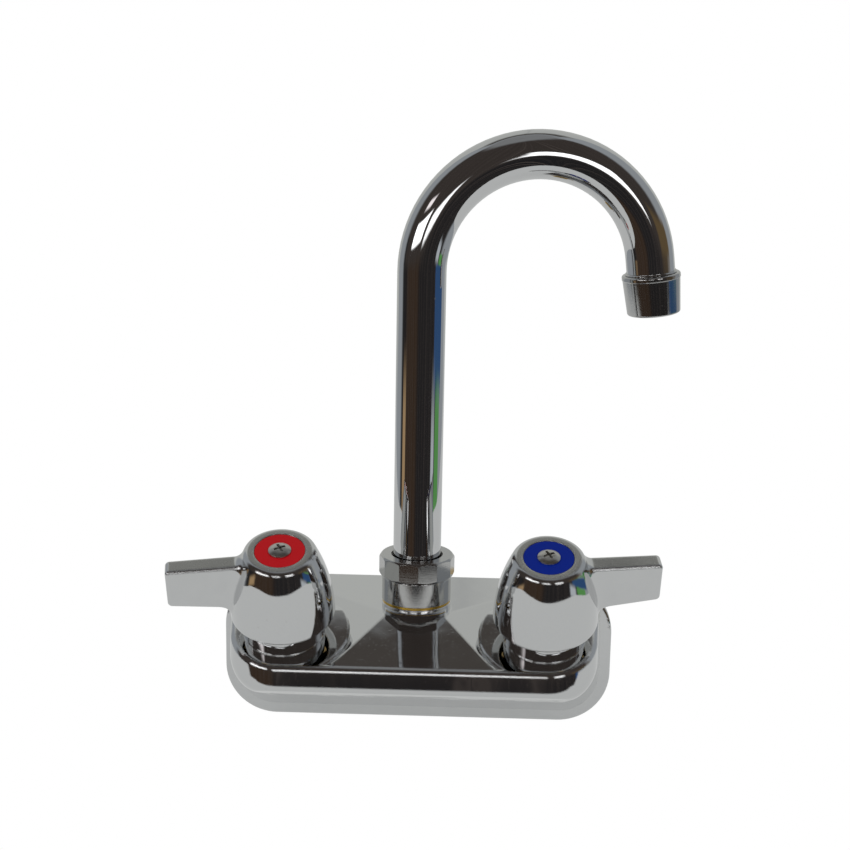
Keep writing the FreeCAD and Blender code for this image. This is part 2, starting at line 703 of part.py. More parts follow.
# Valve cartridge, in the valve's own frame: +Z along the valve axis, shelf at Z = 0
CARTRIDGE_LOW = -CHAMBER_DEPTH + SEAL_THICK
CARTRIDGE_BORE = CHAMBER_R - FIT_GAP - CARTRIDGE_WALL
FIXED_DISC_LOW = CARTRIDGE_LOW + 0.5
MOVING_DISC_LOW = FIXED_DISC_LOW + DISC_THICK + DISC_GAP


def cartridge_body():
    barrel = turned([(CARTRIDGE_BORE, CARTRIDGE_LOW), (CHAMBER_R - FIT_GAP, CARTRIDGE_LOW),
                     (CHAMBER_R - FIT_GAP, NECK_H), (CARTRIDGE_FLANGE_R, NECK_H),
                     (CARTRIDGE_FLANGE_R, NECK_H + CARTRIDGE_FLANGE_THICK),
                     (CARTRIDGE_NECK_R, NECK_H + CARTRIDGE_FLANGE_THICK),
                     (CARTRIDGE_NECK_R, CARTRIDGE_NECK_TOP),
                     (STEM_R + STEM_CLEARANCE, CARTRIDGE_NECK_TOP),
                     (STEM_R + STEM_CLEARANCE, CARTRIDGE_ROOF_H), (CARTRIDGE_BORE, CARTRIDGE_ROOF_H)])
    window = Part.makeBox(3 * CHAMBER_R, WINDOW_WIDTH, WINDOW_HEIGHT,
                          V(-1.5 * CHAMBER_R, -WINDOW_WIDTH / 2, CARTRIDGE_ROOF_H - 2 - WINDOW_HEIGHT))
    return barrel.cut(window)


def bonnet_nut():
    high = BONNET_TOP_H
    nut = hex_nut(BONNET_FLATS, CARTRIDGE_NECK_R + THREAD_CLEARANCE, BOSS_H + FIT_GAP, high)
    thread = cylinder(NECK_R + THREAD_CLEARANCE, BOSS_H - 1,
                      NECK_H + CARTRIDGE_FLANGE_THICK + FIT_GAP)
    return nut.cut(thread)


def base_seal():
    return ring(CHAMBER_R - FIT_GAP, PORT_R + 1, -CHAMBER_DEPTH, CARTRIDGE_LOW)


def water_openings(low, high):
    """Pair of quarter openings through a ceramic disc."""
    sector = Part.makeCylinder(CARTRIDGE_BORE - 2, high - low + 2, V(0, 0, low - 1), UP, 80)
    inner = cylinder(2.2, low - 2, high + 2)
    sector = sector.cut(inner)
    other = sector.copy()
    other.rotate(V(0, 0, 0), UP, 180)
    return sector.fuse(other)


def fixed_disc():
    low = FIXED_DISC_LOW
    high = low + DISC_THICK
    disc = cylinder(CARTRIDGE_BORE - 0.05, low, high)
    return disc.cut(water_openings(low, high))


def moving_disc():
    low = MOVING_DISC_LOW
    high = low + DISC_THICK
    disc = cylinder(CARTRIDGE_BORE - 0.05, low, high)
    openings = water_openings(low, high)
    openings.rotate(V(0, 0, 0), UP, 90)
    return disc.cut(openings)


def stem():
    foot_low = MOVING_DISC_LOW + DISC_THICK
    shoulder = cylinder(STEM_SHOULDER_R, foot_low, CARTRIDGE_ROOF_H - THRUST_THICK)
    shaft = cylinder(STEM_R, foot_low, CARTRIDGE_NECK_TOP + 0.2)
    head = star(STEM_POINTS, STEM_POINT_R, STEM_VALLEY_R, CARTRIDGE_NECK_TOP + 0.2, STEM_TOP_H)
    body = shoulder.fuse([shaft, head])
    for height in O_RING_HEIGHTS:
        groove = ring(STEM_R + 1, STEM_R - 2 * O_RING_SECTION, height - 0.7, height + 0.7)
        body = body.cut(groove)
    screw_hole = cylinder(SCREW_SHANK_R + 0.02, screw_end() - 1, STEM_TOP_H + 1)
    return body.cut(screw_hole).removeSplitter()


def stem_o_rings():
    return Part.makeCompound([torus_ring(STEM_R - O_RING_SECTION, O_RING_SECTION, h)
                              for h in O_RING_HEIGHTS])


def thrust_washer():
    high = CARTRIDGE_ROOF_H
    return ring(CARTRIDGE_BORE - FIT_GAP, STEM_R + FIT_GAP, high - THRUST_THICK + 0.02, high)


# Lever, in the valve's frame with its arm towards +X
def screw_end():
    return HUB_TOP_H - SCREW_LENGTH


def hub():
    rim = V(HUB_LOW_R, 0, HUB_LOW_H)
    side = V(HUB_MID_R, 0, HUB_MID_H)
    top = V(HUB_TOP_R, 0, HUB_TOP_H)
    edges = chain([top, V(0, 0, HUB_TOP_H), V(0, 0, HUB_LOW_H), rim])
    edges.append(Part.Arc(rim, side, top).toShape())
    top_edge = lambda e: e.BoundBox.ZMin > HUB_TOP_H - 0.01 and e.BoundBox.XMax > HUB_TOP_R - 0.01
    return fillet_where(revolve(edges), HUB_TOP_ROUND, top_edge)


def arm_plan():
    """Blade seen along the valve axis."""
    half = ARM_THICK / 2
    tip_half = half - ARM_TAPER
    points = [V(HUB_SOCKET_R, -half, 0), V(ARM_REACH, -tip_half, 0),
              V(ARM_REACH, tip_half, 0), V(HUB_SOCKET_R, half, 0)]
    return Part.Face(Part.makePolygon(points + points[:1])).extrude(V(0, 0, HUB_TOP_H))


def arm_side():
    """Blade seen from the front: nearly level top, and a lower edge that sweeps down to the hub."""
    y = -ARM_THICK
    root_top = V(HUB_SOCKET_R, y, HUB_TOP_H - ARM_TOP_DROP)
    tip_top = V(ARM_REACH, y, HUB_TOP_H - ARM_TIP_DROP)
    tip_low = V(ARM_REACH, y, tip_top.z - ARM_TIP_HEIGHT)
    knee = V(ARM_KNEE_R, y, HUB_TOP_H - ARM_KNEE_DROP)
    foot = V(HUB_MID_R, y, HUB_LOW_H + ARM_FOOT_RISE)
    sweep = (knee + foot) * 0.5 + V(-ARM_SWEEP_HOLLOW, 0, ARM_SWEEP_HOLLOW)
    root_low = V(HUB_SOCKET_R, y, foot.z)
    edges = chain([foot, root_low, root_top, tip_top, tip_low, knee])
    edges.append(Part.Arc(knee, sweep, foot).toShape())
    return Part.Face(Part.Wire(edges)).extrude(V(0, 2 * ARM_THICK, 0))


def arm():
    blade = arm_plan().common(arm_side())
    tip_corners = lambda e: e.BoundBox.XMin > ARM_REACH - 0.01 and e.BoundBox.ZLength < 0.01
    blade = fillet_where(blade, ARM_TIP_CORNER, tip_corners)
    long_edges = lambda e: (e.BoundBox.YLength < 2 * ARM_TAPER and e.BoundBox.XMax > HUB_MID_R
                            and (e.BoundBox.XMin > HUB_MID_R - 1 or e.BoundBox.ZMax > HUB_MID_H))
    return fillet_where(blade, ARM_EDGE, long_edges)


def touches_arm_and_hub(edge):
    box = edge.BoundBox
    corner = edge.valueAt((edge.FirstParameter + edge.LastParameter) / 2)
    off_axis = math.hypot(corner.x, corner.y)
    return (abs(corner.y) < ARM_THICK / 2 + 0.01 and corner.x > HUB_TOP_R and off_axis < HUB_LOW_R
            and box.YMax < ARM_THICK and box.YMin > -ARM_THICK and box.ZMin > HUB_LOW_H + 0.1)


def lever_blank():
    blank = hub().fuse(arm()).removeSplitter()
    return fillet_where(blank, ARM_BLEND, touches_arm_and_hub)


def lever():
    body = lever_blank()
    cavity = turned([(0, HUB_LOW_H - 1), (HUB_CAVITY_R, HUB_LOW_H - 1), (HUB_CAVITY_R, HUB_CAVITY_H),
                     (HUB_SOCKET_R + 4, HUB_TOP_H - 5.5), (0, HUB_TOP_H - 5.5)])
    socket = cylinder(HUB_SOCKET_R, CARTRIDGE_NECK_TOP + 0.6, HUB_TOP_H - 5)
    body = body.cut(cavity).fuse(socket)
    gap = 0.06
    body = body.cut(star(STEM_POINTS, STEM_POINT_R + gap, STEM_VALLEY_R + gap,
                         CARTRIDGE_NECK_TOP, STEM_TOP_H + gap))
    body = body.cut(cylinder(SCREW_SHANK_R + 0.2, STEM_TOP_H - 1, HUB_TOP_H + 1))
    recess = cylinder(INDEX_R + INDEX_CLEARANCE, HUB_TOP_H - INDEX_THICK, HUB_TOP_H + 1)
    return one_solid(body.cut(recess))


def index_disc():
    low = HUB_TOP_H - INDEX_THICK
    disc = ring(INDEX_R, SCREW_SHANK_R + 0.3, low, HUB_TOP_H)
    rim = lambda e: e.BoundBox.ZMin > HUB_TOP_H - 0.01 and e.BoundBox.XMax > INDEX_R - 0.1
    return fillet_where(disc, 0.3, rim)


def handle_screw():
    """Pan-head screw with a cross recess."""
    top = HUB_TOP_H + SCREW_HEAD_H
    rim = V(SCREW_HEAD_R, 0, HUB_TOP_H + 0.4)
    dome = V(SCREW_HEAD_R * 0.72, 0, top - 0.35)
    end = screw_end()
    edges = chain([V(0, 0, top), V(0, 0, end), V(SCREW_SHANK_R, 0, end),
                   V(SCREW_SHANK_R, 0, HUB_TOP_H), V(SCREW_HEAD_R, 0, HUB_TOP_H), rim])
    edges.append(Part.Arc(rim, dome, V(0, 0, top)).toShape())
    body = revolve(edges)
    long = SCREW_SLOT_LENGTH
    wide = SCREW_SLOT_WIDTH
    slot = Part.makeBox(long, wide, 5, V(-long / 2, -wide / 2, top - SCREW_SLOT_DEPTH))
    cross = slot.copy()
    cross.rotate(V(0, 0, 0), UP, 90)
    recess = slot.fuse(cross)
    recess.rotate(V(0, 0, 0), UP, 20)
    return body.cut(recess)


def lever_turn(side):
    """Angle of the closed lever about its valve axis, from +X."""
    return LEVER_CLOCK if side > 0 else 180 + LEVER_CLOCK


def on_lever(shape, side):
    placed = shape.copy()
    placed.rotate(V(0, 0, 0), UP, lever_turn(side))
    return at_valve(placed, side)


keep("body_casting", body_casting())
keep("seat_ring", seat_ring())
keep("spout_sleeve", spout_sleeve())
keep("spout_nut", spout_nut())
for node in ("seat_ring", "spout_sleeve", "spout_nut"):
    PARTS[node].translate(V(0, SPOUT_Y, 0))
keep("spout_tube", spout_tube())
keep("spout_foot_bush", spout_foot())
keep("spout_o_rings", spout_o_rings())
keep("spout_glide_ring", glide_ring())
keep("spout_tip_collar", tip_collar())
keep("aerator_housing", aerator_housing())
keep("aerator_washer", aerator_washer())
keep("aerator_insert", aerator_insert())
keep("aerator_screen", aerator_screen())
for name, side in (("hot", -1), ("cold", 1)):
    keep(name + "_inlet_shank", inlet_shank(side))
    keep(name + "_shank_washer", shank_washer(side))
    keep(name + "_locknut", locknut(side))
    keep(name + "_cartridge_body", at_valve(cartridge_body(), side))
    keep(name + "_bonnet_nut", at_valve(bonnet_nut(), side))
    keep(name + "_base_seal", at_valve(base_seal(), side))
    keep(name + "_fixed_disc", at_valve(fixed_disc(), side))
    keep(name + "_thrust_washer", at_valve(thrust_washer(), side))
    keep(name + "_moving_disc", on_lever(moving_disc(), side))
    keep(name + "_stem", on_lever(stem(), side))
    keep(name + "_stem_o_rings", on_lever(stem_o_rings(), side))
    keep(name + "_lever", on_lever(lever(), side))
    keep(name + "_index_disc", on_lever(index_disc(), side))
    keep(name + "_handle_screw", on_lever(handle_screw(), side))

os.makedirs("parts", exist_ok=True)
for node, shape in PARTS.items():
    shape.exportStep("parts/" + node + ".step")
    print(node, "solids", len(shape.Solids), "valid", shape.isValid(), "volume %.1f" % shape.Volume)
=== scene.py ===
# %% [markdown]
# # A wall-mounted mixer tap in bright chrome
#
# The tap has a cast body with a wall flange, two leaning valves with blade levers,
# and a gooseneck spout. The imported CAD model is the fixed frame: it says where each
# piece is and how it moves. This lesson adds the finishes and the studio.
# Lengths are in metres. The wall is the plane Y = 0, the front faces -Y, Z points up.

# %% Load the frame
import bpy
import math
from mathutils import Matrix, Vector


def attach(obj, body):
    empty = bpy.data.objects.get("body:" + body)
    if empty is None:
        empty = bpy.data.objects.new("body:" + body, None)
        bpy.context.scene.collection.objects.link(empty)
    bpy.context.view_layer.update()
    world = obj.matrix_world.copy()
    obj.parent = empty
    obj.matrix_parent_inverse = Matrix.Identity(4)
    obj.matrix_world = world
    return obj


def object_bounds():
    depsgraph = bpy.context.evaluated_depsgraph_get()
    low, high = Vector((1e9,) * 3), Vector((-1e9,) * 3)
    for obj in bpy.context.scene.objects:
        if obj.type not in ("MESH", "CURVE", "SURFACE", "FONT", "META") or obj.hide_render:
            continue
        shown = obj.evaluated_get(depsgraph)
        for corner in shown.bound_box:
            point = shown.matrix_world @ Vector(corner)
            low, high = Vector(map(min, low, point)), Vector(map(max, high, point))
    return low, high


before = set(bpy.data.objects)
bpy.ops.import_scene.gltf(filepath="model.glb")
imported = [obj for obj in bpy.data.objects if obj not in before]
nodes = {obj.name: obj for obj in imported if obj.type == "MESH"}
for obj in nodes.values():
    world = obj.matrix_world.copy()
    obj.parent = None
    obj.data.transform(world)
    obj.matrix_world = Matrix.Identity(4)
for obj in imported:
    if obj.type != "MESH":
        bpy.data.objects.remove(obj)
cad_low, cad_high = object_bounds()
print("nodes", len(nodes), "size", [round(c, 4) for c in cad_high - cad_low])

# %% [markdown]
# ## The camera
#
# The camera stands a little above the tap and looks down at it by about 14 degrees.
# It could be placed by eye, or with Blender's Track To constraint, but a small roll is
# hard to give that way. Here the three axes of the camera are worked out from its
# angles, because that keeps the roll exact.

# %% Camera
CAMERA_PLACE = Vector((0.01839, -0.69065, 0.26519))
CAMERA_DOWN = math.radians(13.63)
CAMERA_YAW = math.radians(-1.42)
CAMERA_ROLL = math.radians(1.04)
SENSOR_MM = 36
LENS_MM = 72

look = Vector((
    math.sin(CAMERA_YAW) * math.cos(CAMERA_DOWN),
    math.cos(CAMERA_YAW) * math.cos(CAMERA_DOWN),
    -math.sin(CAMERA_DOWN),
))
level_right = Vector((math.cos(CAMERA_YAW), -math.sin(CAMERA_YAW), 0))
level_up = level_right.cross(look)
right = math.cos(CAMERA_ROLL) * level_right + math.sin(CAMERA_ROLL) * level_up
up = math.cos(CAMERA_ROLL) * level_up - math.sin(CAMERA_ROLL) * level_right

lens = bpy.data.cameras.new("camera")
lens.sensor_width = SENSOR_MM
lens.lens = LENS_MM
lens.clip_start = 0.01
lens.clip_end = 50
camera = bpy.data.objects.new("camera", lens)
bpy.context.scene.collection.objects.link(camera)
turn = Matrix((right, up, -look)).transposed()
camera.matrix_world = Matrix.Translation(CAMERA_PLACE) @ turn.to_4x4()
bpy.context.scene.camera = camera
print("camera looks along", [round(c, 3) for c in look])

# %% [markdown]
# ## Small helpers for shader nodes
#
# A material is a graph of nodes. Making and linking them one by one is long, so short
# helpers do it: they set a socket from a number or a link, add a node, do a sum,
# draw a smooth step between two values, mix two colours and read a noise.

# %% Node helpers


def put(tree, socket, value):
    """Link a socket to another one, or give it a plain value."""
    if isinstance(value, bpy.types.NodeSocket):
        tree.links.new(value, socket)
    else:
        socket.default_value = value


def add_node(tree, kind, **sockets):
    node = tree.nodes.new(kind)
    for name, value in sockets.items():
        put(tree, node.inputs[name.replace("_", " ")], value)
    return node


def sums(tree, operation, *values):
    node = tree.nodes.new("ShaderNodeMath")
    node.operation = operation
    for socket, value in zip(node.inputs, values):
        put(tree, socket, value)
    return node.outputs[0]


def smooth_step(tree, value, low, high, out_low=0.0, out_high=1.0):
    """out_low below low, out_high above high, and a soft S between them."""
    node = tree.nodes.new("ShaderNodeMapRange")
    node.interpolation_type = "SMOOTHSTEP"
    put(tree, node.inputs["Value"], value)
    limits = (("From Min", low), ("From Max", high), ("To Min", out_low), ("To Max", out_high))
    for name, amount in limits:
        put(tree, node.inputs[name], amount)
    return node.outputs["Result"]


def mix_colours(tree, factor, a, b):
    node = tree.nodes.new("ShaderNodeMix")
    node.data_type = "RGBA"
    put(tree, node.inputs[0], factor)
    put(tree, node.inputs[6], a)
    put(tree, node.inputs[7], b)
    return node.outputs[2]


def noise(tree, where, scale, detail=2.0, roughness=0.5):
    node = add_node(tree, "ShaderNodeTexNoise",
                    Vector=where, Scale=scale, Detail=detail, Roughness=roughness)
    return node.outputs["Fac"]


def object_place(tree):
    """The place of a shaded point in the object's own frame, in metres."""
    return tree.nodes.new("ShaderNodeTexCoord").outputs["Object"]


def normal_along(tree, vector, axis):
    """How nearly a vector points along an axis: 1 when it does."""
    dot = tree.nodes.new("ShaderNodeVectorMath")
    dot.operation = "DOT_PRODUCT"
    put(tree, dot.inputs[0], vector)
    put(tree, dot.inputs[1], axis)
    return dot.outputs["Value"]


print("node helpers ready")

# %% [markdown]
# ## Helpers for node groups
#
# An effect that several finishes share is worth a node group: it is built once and then
# used like a single node, with its own inputs and outputs.

# %% Group helpers
SOCKET_KINDS = {"value": "NodeSocketFloat", "vector": "NodeSocketVector"}


def new_group(name, inputs, outputs):
    """An empty shader node group, with what it is given and what it gives out."""
    group = bpy.data.node_groups.new(name, "ShaderNodeTree")
    for sockets, direction in ((inputs, "INPUT"), (outputs, "OUTPUT")):
        for socket, kind in sockets.items():
            group.interface.new_socket(
                name=socket, in_out=direction, socket_type=SOCKET_KINDS[kind])
    given = group.nodes.new("NodeGroupInput").outputs
    out = group.nodes.new("NodeGroupOutput").inputs
    return group, given, out


def use_group(tree, group, **sockets):
    node = tree.nodes.new("ShaderNodeGroup")
    node.node_tree = group
    for name, value in sockets.items():
        put(tree, node.inputs[name.replace("_", " ")], value)
    return node.outputs


print("group helpers ready")

# %% [markdown]
# ## Handling marks
#
# Fingers leave faint smears on bright metal, and water dries into small spots.
# A stretched noise, cut off low, gives the smears. Voronoi cells give round dots, and a
# broad noise keeps only some of them, because real spots come in clusters.

# %% Handling marks


def build_handling_marks():
    """Smears and dried spots, each as a mask from 0 to 1."""
    group, given, out = new_group(
        "handling marks",
        {"Smear size": "value", "Spot size": "value"},
        {"Smears": "value", "Spots": "value"})
    where = object_place(group)
    stretch = add_node(group, "ShaderNodeMapping", Vector=where, Scale=(1.0, 1.3, 0.45))
    broad = noise(group, stretch.outputs[0], given["Smear size"], 4.0, 0.6)
    group.links.new(smooth_step(group, broad, 0.52, 0.74), out["Smears"])
    cells = add_node(group, "ShaderNodeTexVoronoi", Vector=where, Scale=given["Spot size"])
    dot = smooth_step(group, cells.outputs["Distance"], 0.10, 0.16, 1.0, 0.0)
    few = smooth_step(group, noise(group, where, 60.0), 0.56, 0.66)
    group.links.new(sums(group, "MULTIPLY", dot, few), out["Spots"])
    return group


handling_marks = build_handling_marks()
print("effect", handling_marks.name)

# %% [markdown]
# ## Edge wear
#
# A plated edge that hands rub turns a little paler. The Bevel node gives the normal that
# a rounded edge would have. Where it differs from the true normal, an edge is near.
# A noise breaks the line up, because wear is never even.

# %% Edge wear


def build_edge_wear():
    """How near a point is to an edge, broken up into patches."""
    group, given, out = new_group(
        "edge wear", {"Width": "value", "Breakup": "value"}, {"Wear": "value"})
    rounded = add_node(group, "ShaderNodeBevel", Radius=given["Width"])
    flat = group.nodes.new("ShaderNodeNewGeometry").outputs["Normal"]
    agreement = normal_along(group, rounded.outputs[0], flat)
    edge = smooth_step(group, agreement, 0.90, 0.999, 1.0, 0.0)
    broad = noise(group, object_place(group), given["Breakup"], 3.0)
    patches = smooth_step(group, broad, 0.35, 0.65)
    group.links.new(sums(group, "MULTIPLY", edge, patches), out["Wear"])
    return group


edge_wear = build_edge_wear()
print("effect", edge_wear.name)

# %% [markdown]
# ## Polishing waves and scratches
#
# A buffing wheel leaves low waves and hair-fine scratches. The waves come from a broad
# noise, and the scratches from a noise drawn out to 30 times its width along one slant.

# %% Buffed surface


def build_polish():
    """Waves and scratches as one height, and the scratches alone."""
    group, given, out = new_group(
        "buffed surface",
        {"Wave size": "value", "Scratch size": "value", "Scratch share": "value"},
        {"Height": "value", "Scratches": "value"})
    where = object_place(group)
    waves = noise(group, where, given["Wave size"], 2.0)
    drawn = add_node(group, "ShaderNodeMapping", Vector=where,
                     Rotation=(0.3, 0.5, 0.2), Scale=(1.0, 1.0, 0.03))
    lines = noise(group, drawn.outputs[0], given["Scratch size"], 2.0)
    scratches = smooth_step(group, lines, 0.62, 0.72)
    share = sums(group, "MULTIPLY", scratches, given["Scratch share"])
    group.links.new(sums(group, "ADD", waves, share), out["Height"])
    group.links.new(scratches, out["Scratches"])
    return group


buffed_surface = build_polish()
print("effect", buffed_surface.name)

# %% [markdown]
# ## Turning marks
#
# A lathe leaves fine rings round the axis of a turned piece. A one-dimensional noise of
# the place along that axis gives the same value all the way round, so it draws rings.

# %% Turning marks


def build_turning():
    """Fine rings round an axis, from 0 to 1."""
    group, given, out = new_group(
        "turning marks", {"Axis": "vector", "Ring size": "value"}, {"Rings": "value"})
    along = normal_along(group, object_place(group), given["Axis"])
    line = group.nodes.new("ShaderNodeTexNoise")
    line.noise_dimensions = "1D"
    put(group, line.inputs["W"], sums(group, "MULTIPLY", along, given["Ring size"]))
    put(group, line.inputs["Scale"], 1.0)
    put(group, line.inputs["Detail"], 3.0)
    group.links.new(line.outputs["Fac"], out["Rings"])
    return group


turning_marks = build_turning()
print("effect", turning_marks.name)

# %% [markdown]
# ## Settled dust
#
# Dust lies on what faces up. The normal's Z says how much a point does, and a fine noise
# gives the grains.

# %% Settled dust


def build_dust():
    """Dust grains on faces that look up, from 0 to 1."""
    group, given, out = new_group("settled dust", {"Grain size": "value"}, {"Dust": "value"})
    normal = group.nodes.new("ShaderNodeNewGeometry").outputs["Normal"]
    facing = add_node(group, "ShaderNodeSeparateXYZ", Vector=normal).outputs["Z"]
    fine = noise(group, object_place(group), given["Grain size"], 4.0, 0.7)
    grain = smooth_step(group, fine, 0.45, 0.8)
    lying = smooth_step(group, facing, 0.3, 0.95)
    group.links.new(sums(group, "MULTIPLY", lying, grain), out["Dust"])
    return group


settled_dust = build_dust()
print("effect", settled_dust.name)

# %% [markdown]
# ## Chrome
#
# Chrome is a thin bright plate over polished brass. It has almost no colour of its own:
# it shows the room. A Principled shader with Metallic 1 and a low Roughness does that.
# The marks raise the roughness a little. A Bevel node rounds the edges in the shading
# alone, as polishing rounds a casting's real edges.

# %% A new material and its bump


def new_material(name):
    material = bpy.data.materials.new(name)
    material.use_nodes = True
    tree = material.node_tree
    tree.nodes.clear()
    shader = tree.nodes.new("ShaderNodeBsdfPrincipled")
    output = tree.nodes.new("ShaderNodeOutputMaterial")
    tree.links.new(shader.outputs[0], output.inputs["Surface"])
    return material, tree, shader


def bumped(tree, height, distance, edge=0.0):
    """A normal with a height map in it, and with rounded edges where edge is a radius."""
    bump = add_node(tree, "ShaderNodeBump", Height=height, Distance=distance, Strength=1.0)
    if edge > 0:
        rounded = add_node(tree, "ShaderNodeBevel", Radius=edge)
        tree.links.new(rounded.outputs[0], bump.inputs["Normal"])
    return bump.outputs[0]


def tinted(tree, mask, share, below, colour):
    """Lay a colour over another where a mask is, at a share of its full strength."""
    return mix_colours(tree, sums(tree, "MULTIPLY", mask, share), below, (*colour, 1.0))


def roughened(tree, start, *masks):
    """Add to a roughness what each mask brings, given as pairs of mask and amount."""
    rough = start
    for mask, amount in masks:
        rough = sums(tree, "MULTIPLY_ADD", mask, amount, rough)
    return rough


print("material helpers ready")

# %% [markdown]
# ## The chrome of each piece
#
# The casting, the levers, the tube and the turned pieces share one recipe. They differ
# in how round their edges are, how long and how deep the polishing waves are,
# and in how bright the plate is. On the turned pieces it is a little darker.

# %% Chrome materials
CHROME = (0.66, 0.665, 0.67)
CHROME_ON_TURNED = (0.52, 0.52, 0.515)
DRIED_WATER = (0.60, 0.60, 0.595)
RUBBED_EDGE = (0.76, 0.755, 0.74)
DUST = (0.55, 0.53, 0.50)
CHROME_ROUGHNESS = 0.035
CHROME_WEAR_WIDTH = 0.0006


def chrome_material(name, edge, wave, wave_depth, colour=CHROME):
    """Bright plate. edge is the edges' radius, wave the number of waves in a metre."""
    material, tree, shader = new_material(name)
    marks = use_group(tree, handling_marks, Smear_size=28.0, Spot_size=260.0)
    polish = use_group(tree, buffed_surface,
                       Wave_size=wave, Scratch_size=900.0, Scratch_share=0.02)
    wear = use_group(tree, edge_wear, Width=CHROME_WEAR_WIDTH, Breakup=90.0)
    dust = use_group(tree, settled_dust, Grain_size=700.0)
    tint = tinted(tree, marks["Spots"], 0.35, (*colour, 1.0), DRIED_WATER)
    tint = tinted(tree, wear["Wear"], 0.4, tint, RUBBED_EDGE)
    tint = tinted(tree, dust["Dust"], 0.05, tint, DUST)
    put(tree, shader.inputs["Base Color"], tint)
    rough = roughened(tree, CHROME_ROUGHNESS, (marks["Smears"], 0.030), (marks["Spots"], 0.10),
                      (wear["Wear"], 0.05), (polish["Scratches"], 0.02))
    put(tree, shader.inputs["Roughness"], rough)
    put(tree, shader.inputs["Metallic"], 1.0)
    put(tree, shader.inputs["Normal"], bumped(tree, polish["Height"], wave_depth, edge))
    return material


chrome_cast = chrome_material("chrome on casting", 0.0011, 45.0, 0.00010)
chrome_lever = chrome_material("chrome on levers", 0.0011, 60.0, 0.00008)
chrome_tube = chrome_material("chrome on tube", 0.0, 18.0, 0.00003)
chrome_turned = chrome_material("chrome on turned pieces", 0.0003, 40.0, 0.00001,
                                CHROME_ON_TURNED)
print("chrome materials 4")

# %% [markdown]
# ## Brushed rounds
#
# The nut, the sleeve and the aerator were turned before they were plated, and the rings
# still show: a reflection smears up and down and stays crisp round the piece.
# Anisotropic reflection with a tangent round Z does that, with faint ridges as a bump.

# %% Brush the turned pieces
UPRIGHT = (0.0, 0.0, 1.0)
RIDGE_HEIGHT = 0.000004


def shader_of(material):
    """A material's tree and its Principled shader."""
    tree = material.node_tree
    return tree, next(n for n in tree.nodes if n.bl_idname == "ShaderNodeBsdfPrincipled")


def source_of(socket):
    """The socket that feeds another one."""
    return socket.links[0].from_socket


def brush_round(material, ring_height):
    """Add rings round Z to a finished chrome."""
    tree, shader = shader_of(material)
    rings = use_group(tree, turning_marks, Axis=UPRIGHT, Ring_size=5200.0)["Rings"]
    rough = roughened(tree, source_of(shader.inputs["Roughness"]), (rings, 0.10))
    put(tree, shader.inputs["Roughness"], rough)
    put(tree, shader.inputs["Anisotropic"], 0.6)
    put(tree, shader.inputs["Anisotropic Rotation"], 0.25)
    around = tree.nodes.new("ShaderNodeTangent")
    around.direction_type = "RADIAL"
    around.axis = "Z"
    tree.links.new(around.outputs[0], shader.inputs["Tangent"])
    ridged = add_node(tree, "ShaderNodeBump", Height=rings, Distance=ring_height,
                      Normal=source_of(shader.inputs["Normal"]))
    tree.links.new(ridged.outputs[0], shader.inputs["Normal"])


brush_round(chrome_turned, RIDGE_HEIGHT)
print("brushed", chrome_turned.name)

# %% [markdown]
# ## Satin tops
#
# The ring round each index disc and the top of each lever are duller than the rest.
# They are the flat faces that look along the valve's leaning axis, so the shading normal
# finds them: where it lies along that axis, the plate is rougher and a little darker.

# %% Dull the lever tops
VALVE_AXIS = (0.0, -0.38268, 0.92388)
SATIN = (0.50, 0.50, 0.485, 1.0)
SATIN_ROUGHNESS = 0.22


def satin_top(material, axis):
    """Dull the flat faces that look along an axis."""
    tree, shader = shader_of(material)
    normal = tree.nodes.new("ShaderNodeNewGeometry").outputs["Normal"]
    flat = smooth_step(tree, normal_along(tree, normal, axis), 0.985, 0.998)
    rough = roughened(tree, source_of(shader.inputs["Roughness"]), (flat, SATIN_ROUGHNESS))
    put(tree, shader.inputs["Roughness"], rough)
    tint = source_of(shader.inputs["Base Color"])
    put(tree, shader.inputs["Base Color"], mix_colours(tree, flat, tint, SATIN))


satin_top(chrome_lever, VALVE_AXIS)
print("satin tops on", chrome_lever.name)

# %% [markdown]
# ## Brass and steel
#
# The shanks, nuts and cartridges are bare brass, turned on a lathe, so their marks run in
# rings round the axis of each piece. The screws and the aerator's screen are stainless
# steel. One recipe serves all of them: a colour, a stain, rings and worn edges.

# %% Turned metals
WALL_AXIS = (0.0, 1.0, 0.0)
TURNED_WEAR_WIDTH = 0.0005
TURNED_EDGE = 0.0003
RING_HEIGHT = 0.00002
WORN_BRIGHTER = 1.18


def turned_metal(name, colour, stain, axis, roughness):
    material, tree, shader = new_material(name)
    rings = use_group(tree, turning_marks, Axis=axis, Ring_size=2600.0)["Rings"]
    marks = use_group(tree, handling_marks, Smear_size=45.0, Spot_size=300.0)
    wear = use_group(tree, edge_wear, Width=TURNED_WEAR_WIDTH, Breakup=140.0)
    bright = tuple(min(1.0, c * WORN_BRIGHTER) for c in colour)
    tint = tinted(tree, marks["Smears"], 0.7, (*colour, 1.0), stain)
    tint = tinted(tree, wear["Wear"], 0.7, tint, bright)
    put(tree, shader.inputs["Base Color"], tint)
    rough = roughened(tree, roughness, (rings, 0.16), (marks["Smears"], 0.10))
    put(tree, shader.inputs["Roughness"], rough)
    put(tree, shader.inputs["Metallic"], 1.0)
    put(tree, shader.inputs["Normal"], bumped(tree, rings, RING_HEIGHT, TURNED_EDGE))
    return material


